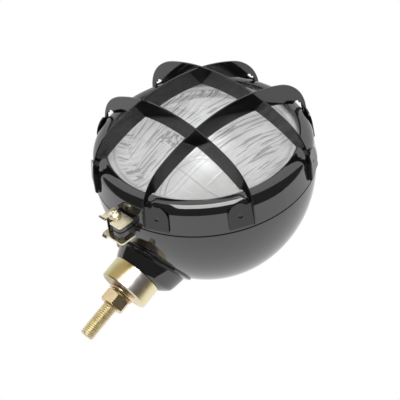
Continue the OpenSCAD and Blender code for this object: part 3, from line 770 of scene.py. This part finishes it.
def flutes(x, y):
    """Rounded flutes of uneven depth, upright at the right and leaning at the left."""
    lean = FLUTE_LEAN * smooth_step(*FLUTE_LEAN_REACH, -x)
    # a slow sway of the flutes and a quicker one
    wander = 0.22 * np.sin(y / 17.0 + 0.6) + 0.12 * np.sin(y / 7.3 + x / 9.0)
    phase = (x + lean * np.clip(y + 15, -45, 45) + wander) / FLUTE_PITCH
    depths = np.random.default_rng(FLUTE_SEED).random(FLUTE_COUNT)
    depths = FLUTE_SHALLOWEST + (1 - FLUTE_SHALLOWEST) * depths
    index = (np.floor(phase).astype(int) + FLUTE_COUNT // 2) % FLUTE_COUNT
    return np.abs(np.sin(math.pi * phase)) * depths[index] * FLUTE_SCALLOP


def crossed_prisms(x, y):
    """A patch of small crossed prisms below the centre."""
    share, height = 1.0, 0.0
    for value, centre, half, pitch in zip((x, y), PRISM_CENTRE, PRISM_HALF, PRISM_PITCH):
        share = share * smooth_step(0, PATTERN_EDGE, half - np.abs(value - centre))
        height = height + np.abs(np.sin(math.pi * value / pitch))
    return PRISM_H * height, share


def low_waves(x, y):
    """Short slanted waves near the lower edge."""
    r, angle = np.hypot(x, y), np.degrees(np.arctan2(y, x))
    turn = angle / WAVE_PITCH_DEGREES + r / WAVE_SLANT
    share = between(WAVE_BAND, r) * between(WAVE_TURN, angle)
    return WAVE_H * np.abs(np.sin(math.pi * turn)), share


def clear_sector(x, y):
    """A clear sector at the lower right, with thin grooves and a double arc on its left."""
    r, angle = np.hypot(x, y), np.degrees(np.arctan2(y, x))
    lines = sum(grooves(x - at, *LINE_GROOVE) for at in UPRIGHT_LINES)
    lines = lines + sum(grooves(y - at, *LINE_GROOVE) for at in LEVEL_LINES)
    bow = np.hypot(x - BOW_CENTRE[0], y - BOW_CENTRE[1])
    lines = lines + sum(grooves(bow - at, *BOW_GROOVE) * (x < BOW_END) for at in BOW_RADII)
    share = between(SECTOR_TURN, angle) * smooth_step(*SECTOR_START, r)
    return FLUTE_ROOM / 2 - np.minimum(lines, FLUTE_ROOM / 2), share


def pattern_height(x, y):
    """How far the pressed pattern stands into the lamp over the back of the glass."""
    height = flutes(x, y)
    for part in (crossed_prisms, low_waves, clear_sector):
        over, share = part(x, y)
        height = height * (1 - share) + over * share
    return np.clip(height, 0.0, FLUTE_ROOM)


# Lens


def closed_shell(upper, lower, around):
    """Points and faces of a round plate from two stacks of rings that end on the same rim,
    each given from the middle outwards, and the faces of the lower side."""
    points = [tuple(p) for rows in upper for p in rows]
    start = len(points)
    points += [tuple(p) for rows in lower for p in rows]
    faces = [f[::-1] for f in ring_faces(len(upper), around)]
    for k in range(around):
        a, b = start - around + k, start - around + (k + 1) % around
        c, d = len(points) - around + k, len(points) - around + (k + 1) % around
        faces.append((a, c, d, b))
    points += [tuple(np.mean(upper[0], axis=0)), tuple(np.mean(lower[0], axis=0))]
    faces += fan(len(points) - 2, 0, around)
    first = len(faces)
    faces += ring_faces(len(lower), around, start)
    faces += fan(len(points) - 1, start, around, turned=True)
    return points, faces, range(first, len(faces))


class Glass:
    """The lens: its sizes, from its CAD node, and the rows of points of its two sides."""

    def __init__(self):
        low, high = (OPTICAL.inverted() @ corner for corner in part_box("lens"))
        crest = max(low.z, high.z)
        self.r = (high.x - low.x) / 2
        self.back = min(low.z, high.z)
        self.face = self.back + GLASS_T
        self.dome_r = self.r - GLASS_UNDER_LIP - GLASS_RING_W
        rise = crest - self.face
        self.ball_r = (self.dome_r**2 + rise**2) / (2 * rise)
        self.ball_z = crest - self.ball_r
        self.rim = [self.r - 0.5, self.r]

    def grid(self, *radii):
        """Radius, x and y of points on rows of those radii."""
        angles = np.linspace(0, 2 * math.pi, GLASS_AROUND, endpoint=False)
        rr, aa = np.meshgrid(np.concatenate(radii), angles, indexing="ij")
        return rr, rr * np.cos(aa), rr * np.sin(aa)

    def dome(self, rr, ball_r, flat):
        """Height of a dome that ends in a flat ring."""
        return np.maximum(np.sqrt(np.maximum(ball_r**2 - rr**2, 0)) + self.ball_z, flat)

    def outer_side(self):
        """Smooth rows, close together where the dome meets its flat ring."""
        middle = np.linspace(1.5, self.dome_r - 0.8, GLASS_OUTER_ROWS)
        rr, x, y = self.grid(middle, [self.dome_r + past for past in GLASS_RING_ROWS], self.rim)
        fillet = GLASS_FILLET_H * np.exp(-(((rr - self.dome_r) / GLASS_FILLET_W) ** 2))
        height = self.dome(rr, self.ball_r, self.face) + fillet * (rr < self.r - 1)
        return np.stack([x, y, height], -1)

    def inner_side(self):
        """Fluted rows, with a plain ring outside the pattern."""
        rr, x, y = self.grid(np.linspace(0.6, self.r - 7, GLASS_INNER_ROWS), self.rim)
        plain = self.dome(rr, self.ball_r - GLASS_T, self.back + FLUTE_ROOM)
        patterned = smooth_step(*(self.r - end for end in PATTERN_END), rr)
        height = plain - pattern_height(x, y) * patterned - FLUTE_ROOM * (1 - patterned)
        return np.stack([x, y, height], -1)


def glass_piece():
    """The lens as one closed mesh: smooth outside, fluted inside, with a plain outer ring."""
    glass = Glass()
    points, faces, lower = closed_shell(glass.outer_side(), glass.inner_side(), GLASS_AROUND)
    make_piece("pressed_lens", (points, faces), OPTICAL, "front", ["lens"], "clear_glass",
               sharp=50, second=("fluted_glass_painted_shade", lower))


# Stud and washer


def thread_radius(z, angle, major, depth, pitch):
    """Radius of a rounded trapezoid thread at a height and an angle in radians."""
    phase = (z / pitch - angle / (2 * math.pi)) % 1.0
    flank = abs(phase - 0.5) * 2
    root, crest = THREAD_FLANK
    return major - depth * min(max((crest - flank) / (crest - root), 0.0), 1.0)


def threaded_rod(major, depth, pitch, start, end, chamfer, around=AROUND, per_turn=9):
    """Points and faces of a threaded rod, chamfered at its start and closed at both ends."""
    rows = int((end - start) / pitch * per_turn)
    points = []
    for i in range(rows + 1):
        z = start + (end - start) * i / rows
        limit = major - max(0.0, chamfer - (z - start))
        points += ring(around, z, lambda a: min(thread_radius(z, a, major, depth, pitch), limit))
    points += [(0, 0, start), (0, 0, end)]
    faces = ring_faces(rows + 1, around)
    faces += fan(len(points) - 2, 0, around, turned=True)
    faces += fan(len(points) - 1, rows * around, around)
    return points, faces


def hexagon_radius(angle, across):
    """Radius of a hexagon of that width across its flats."""
    within = (angle + math.pi / 6) % (math.pi / 3) - math.pi / 6
    return across / 2 / math.cos(within)


def hexagon_head(across, low, high, bevel):
    """A hexagonal head with chamfered corners on its far side."""
    points = []
    for z in (low, high - bevel):
        points += ring(AROUND, z, lambda a: hexagon_radius(a, across))
    points += ring(AROUND, high, lambda a: min(hexagon_radius(a, across), across / 2))
    points += [(0, 0, low), (0, 0, high)]
    faces = ring_faces(3, AROUND)
    faces += fan(len(points) - 2, 0, AROUND, turned=True)
    faces += fan(len(points) - 1, 2 * AROUND, AROUND)
    return points, faces


def stud_piece():
    """Threaded stud with its hexagonal head, in place of the plain CAD rod."""
    top = node_box("stud", STUD)[1].z
    under = top - STUD_HEAD_H
    rod = threaded_rod(STUD_R - THREAD_SLACK, STUD_THREAD_DEPTH, STUD_PITCH, 0.0,
                       under + STUD_INTO_HEAD, STUD_CHAMFER)
    head = hexagon_head(STUD_HEAD_ACROSS, under, top, STUD_HEAD_BEVEL)
    make_piece("threaded_stud", join(rod, head), STUD, "mount_stud", ["stud"], "zinc_plate",
               finish="zinc_thread")


def spring_washer_piece():
    """The split washer as a smooth square-wire turn, in place of the faceted CAD one."""
    low, high = (corner.z for corner in node_box("spring_washer", STUD))
    inner, outer = STUD_R + WASHER_GAP, STUD_R + WASHER_REACH
    edge, wire = WASHER_EDGE, WASHER_WIRE
    section = [
        (inner + edge, 0), (outer - edge, 0), (outer, edge), (outer, wire - edge),
        (outer - edge, wire), (inner + edge, wire), (inner, wire - edge), (inner, edge),
    ]
    points = []
    for i in range(WASHER_STEPS + 1):
        a = 2 * math.pi * WASHER_TURNS * i / WASHER_STEPS
        rise = low + (high - low - wire) * i / WASHER_STEPS
        points += [(r * math.cos(a), r * math.sin(a), rise + z) for r, z in section]
    rows, around = WASHER_STEPS + 1, len(section)
    faces = ring_faces(rows, around) + flat_ends(rows, around)
    make_piece("split_washer", (points, faces), STUD, "lock_washer", ["spring_washer"],
               "zinc_bronze", sharp=50)


# Clamp screw


def recess_depth(x, y):
    """Depth of the cross recess at a place on the screw's head."""
    arm, reach = sorted((abs(x), abs(y)))
    if arm < RECESS_HALF_W and reach < RECESS_REACH:
        return RECESS_DEPTH * (1 - reach / RECESS_REACH)
    return 0.0


def screw_head(head_r, top):
    """Pan head with a cross recess, open below where the thread fills it."""
    dome_r = head_r * SCREW_DOME
    points = []
    for i in range(SCREW_ROWS + 1):
        r = head_r * (i + 0.4) / (SCREW_ROWS + 0.4)
        dome = math.sqrt(max(dome_r**2 - r**2, 0)) - dome_r
        points += [(x, y, z - recess_depth(x, y)) for x, y, z in ring(AROUND, top + dome, r)]
    under = top - SCREW_HEAD_H
    points += ring(AROUND, under + SCREW_HEAD_EDGE, head_r)
    points += ring(AROUND, under, head_r - SCREW_HEAD_EDGE)
    points += ring(AROUND, under, SCREW_R)
    points.append((0, 0, top - RECESS_FLOOR))
    faces = ring_faces(SCREW_ROWS + 4, AROUND) + fan(len(points) - 1, 0, AROUND)
    return points, [f[::-1] for f in faces]


def clamp_screw_piece():
    """Pan-head screw with a cross recess and a thread."""
    low, high = node_box("clamp_screw", OPTICAL)
    under = high.z - SCREW_HEAD_H
    rod = threaded_rod(SCREW_R - THREAD_SLACK, SCREW_THREAD_DEPTH, SCREW_PITCH, low.z,
                       under + SCREW_INTO_HEAD, SCREW_CHAMFER, around=48, per_turn=8)
    points, faces = join(screw_head(high.x, high.z), rod)
    middle = (low.y + high.y) / 2
    points = [(x, y + middle, z) for x, y, z in points]
    make_piece("cross_head_screw", (points, faces), OPTICAL, "screw", ["clamp_screw"],
               "zinc_plate", sharp=30)


# Bulb filament


def filament_piece():
    """Two support wires and a fine coil across the focus, in place of the CAD bar."""
    low, high = (corner.z for corner in node_box("bulb_filament", OPTICAL))
    focus = high - FILAMENT_BELOW_TOP
    supports = []
    for x in (-FILAMENT_SPREAD, FILAMENT_SPREAD):
        supports.append(tube([(x, 0, low), (x, 0, focus - COIL_R), (x, 0, focus)], SUPPORT_R))
    coil = []
    steps = COIL_TURNS * COIL_STEPS
    for i in range(steps + 1):
        a = 2 * math.pi * i / COIL_STEPS
        x = -FILAMENT_SPREAD + 2 * FILAMENT_SPREAD * i / steps
        coil.append((x, COIL_R * math.cos(a), focus + COIL_R * math.sin(a)))
    shape = join(*supports, tube(coil, COIL_WIRE_R, around=8))
    make_piece("filament_coil", shape, OPTICAL, "front", ["bulb_filament"], "filament_wire")


# Seam


def seam_seal_piece():
    """The seal between bowl and rim, with a dark bead of extra-dark rubber that stands in for the shade in the
    seam gap.
    """
    low, high = (OPTICAL.inverted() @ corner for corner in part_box("seam_gasket"))
    outer = (high.x - low.x) / 2
    half_t = abs(high.z - low.z) / 2
    flat_r, step_r = outer - SEAL_FLAT_W, outer - SEAL_STEP
    bead = arc((outer + SEAL_BEAD_OUT, 0), SEAL_BEAD_W, SEAL_BEAD_H,
               -SEAL_BEAD_TURN, SEAL_BEAD_TURN, SEAL_BEAD_STEPS)
    profile = [(flat_r, -half_t), (step_r, -half_t), *bead, (step_r, half_t), (flat_r, half_t)]
    points = [p for r, z in profile for p in ring(SEAL_AROUND, z, r)]
    faces = ring_faces(len(profile), SEAL_AROUND)
    last = len(points) - SEAL_AROUND
    for k in range(SEAL_AROUND):
        n = (k + 1) % SEAL_AROUND
        faces.append((last + k, last + n, n, k))
    make_piece("seam_seal", (points, faces), OPTICAL, "lamp", ["seam_gasket"], "dark_rubber",
               finish="seam_shade_rubber", sharp=50)


# Studio


def stage_mesh(name, points, faces, material, gloss_only=False):
    """A card or floor, not part of the object."""
    mesh = bpy.data.meshes.new(name)
    mesh.from_pydata([tuple(p) for p in points], [], faces)
    made = bpy.data.objects.new(name, mesh)
    bpy.context.scene.collection.objects.link(made)
    mesh.materials.append(material)
    if gloss_only:
        made.visible_camera = made.visible_transmission = made.visible_diffuse = False
        made.visible_shadow = False


def seen_rays(tree):
    """One for rays from the camera, gloss and glass, and nothing for diffuse light."""
    path = tree.nodes.new("ShaderNodeLightPath")
    seen = path.outputs["Is Camera Ray"]
    for name in ("Is Glossy Ray", "Is Transmission Ray"):
        either = tree.nodes.new("ShaderNodeMath")
        either.operation = "MAXIMUM"
        tree.links.new(seen, either.inputs[0])
        tree.links.new(path.outputs[name], either.inputs[1])
        seen = either.outputs[0]
    return seen


def card_material(name, colour):
    """A matt card."""
    material = bpy.data.materials.new(name)
    material.use_nodes = True
    shader = material.node_tree.nodes["Principled BSDF"]
    shader.inputs["Base Color"].default_value = (*colour, 1)
    shader.inputs["Roughness"].default_value = 1.0
    shader.inputs["Specular IOR Level"].default_value = 0.0
    return material


def floor_material():
    """Pale matt floor that looks white in gloss and glass, as the studio round it does."""
    material = card_material("pale_floor", (0.82, 0.82, 0.81))
    tree = material.node_tree
    glow = tree.nodes.new("ShaderNodeEmission")
    mixed = tree.nodes.new("ShaderNodeMixShader")
    tree.links.new(seen_rays(tree), mixed.inputs[0])
    tree.links.new(tree.nodes["Principled BSDF"].outputs[0], mixed.inputs[1])
    tree.links.new(glow.outputs[0], mixed.inputs[2])
    tree.links.new(mixed.outputs[0], tree.nodes["Material Output"].inputs["Surface"])
    return material


def make_world():
    """White for the camera, gloss and glass, and a plain level for matt surfaces."""
    world = bpy.data.worlds.new("studio")
    bpy.context.scene.world = world
    world.use_nodes = True
    tree = world.node_tree
    background = tree.nodes["Background"]
    level = tree.nodes.new("ShaderNodeMapRange")
    level.inputs["To Min"].default_value = DIFFUSE_LEVEL
    level.inputs["To Max"].default_value = WHITE
    tree.links.new(seen_rays(tree), level.inputs["Value"])
    tree.links.new(level.outputs["Result"], background.inputs["Strength"])
    background.inputs["Color"].default_value = (1, 1, 1, 1)


def studio_direction(turn, rise):
    """Direction from the lamp, in degrees to the picture's right and top of the camera's own."""
    turn, rise = math.radians(turn), math.radians(rise)
    right, up = Vector(CAMERA_RIGHT), -Vector(CAMERA_DOWN)
    ahead = right.cross(up)
    level = math.cos(turn) * ahead + math.sin(turn) * right
    return (math.cos(rise) * level + math.sin(rise) * up).normalized()


def rounded(share):
    """A circle's sine or cosine, pushed out towards a rounded square's."""
    return math.copysign(abs(share) ** (2 / DARK_CORNERS), share)


def dark_card():
    """A round-cornered dark card, bent round the camera's side of the lamp."""
    left, right, top, bottom = DARK_REACH
    points = [LAMP_CENTRE + DARK_DISTANCE * studio_direction(0, 0)]
    for i in range(1, DARK_RINGS + 1):
        for k in range(DARK_AROUND):
            a = 2 * math.pi * k / DARK_AROUND
            across, up = rounded(math.cos(a)), rounded(math.sin(a))
            turn = across * (right if across > 0 else left) * i / DARK_RINGS
            rise = up * (top if up > 0 else bottom) * i / DARK_RINGS
            points.append(LAMP_CENTRE + DARK_DISTANCE * studio_direction(turn, rise))
    faces = ring_faces(DARK_RINGS, DARK_AROUND, start=1) + fan(0, 1, DARK_AROUND)
    stage_mesh("dark_card", points, faces, card_material("dark_card", grey(0.10)), gloss_only=True)


def softbox():
    """An oblong soft lamp aimed at the object and level in the picture."""
    direction = studio_direction(*SOFTBOX_PLACE)
    data = bpy.data.lights.new("key_softbox", "AREA")
    data.shape = "RECTANGLE"
    data.size, data.size_y = SOFTBOX_SIZE
    data.energy = SOFTBOX_RADIANCE * math.pi * SOFTBOX_SIZE[0] * SOFTBOX_SIZE[1]
    right = Vector(CAMERA_RIGHT)
    right = (right - direction * right.dot(direction)).normalized()
    lamp = bpy.data.objects.new("key_softbox", data)
    place = LAMP_CENTRE + direction * SOFTBOX_DISTANCE
    lamp.matrix_world = placed(place, right, direction.cross(right), direction)
    lamp.visible_camera = False
    bpy.context.scene.collection.objects.link(lamp)


def make_studio():
    """A pale floor far below, a dark card round the camera's side, and one soft lamp."""
    half = FLOOR_SIZE / 2
    sides = ((-half, -half), (half, -half), (half, half), (-half, half))
    corners = [(x, y, FLOOR_Z) for x, y in sides]
    stage_mesh("floor", corners, [(0, 1, 2, 3)], floor_material())
    dark_card()
    softbox()


def make_camera():
    """The photograph's camera."""
    data = bpy.data.cameras.new("camera")
    data.lens = CAMERA_LENS
    data.sensor_width = CAMERA_SENSOR
    data.clip_start, data.clip_end = CAMERA_CLIP
    right = Vector(CAMERA_RIGHT).normalized()
    down = Vector(CAMERA_DOWN)
    down = (down - right * down.dot(right)).normalized()
    camera = bpy.data.objects.new("camera", data)
    camera.matrix_world = placed(CAMERA_AT, right, -down, -right.cross(down))
    bpy.context.scene.collection.objects.link(camera)
    bpy.context.scene.camera = camera


bpy.context.scene.view_settings.view_transform = "Standard"
make_camera()
make_world()
make_studio()
dress_nodes()
glass_piece()
stud_piece()
spring_washer_piece()
clamp_screw_piece()
filament_piece()
seam_seal_piece()
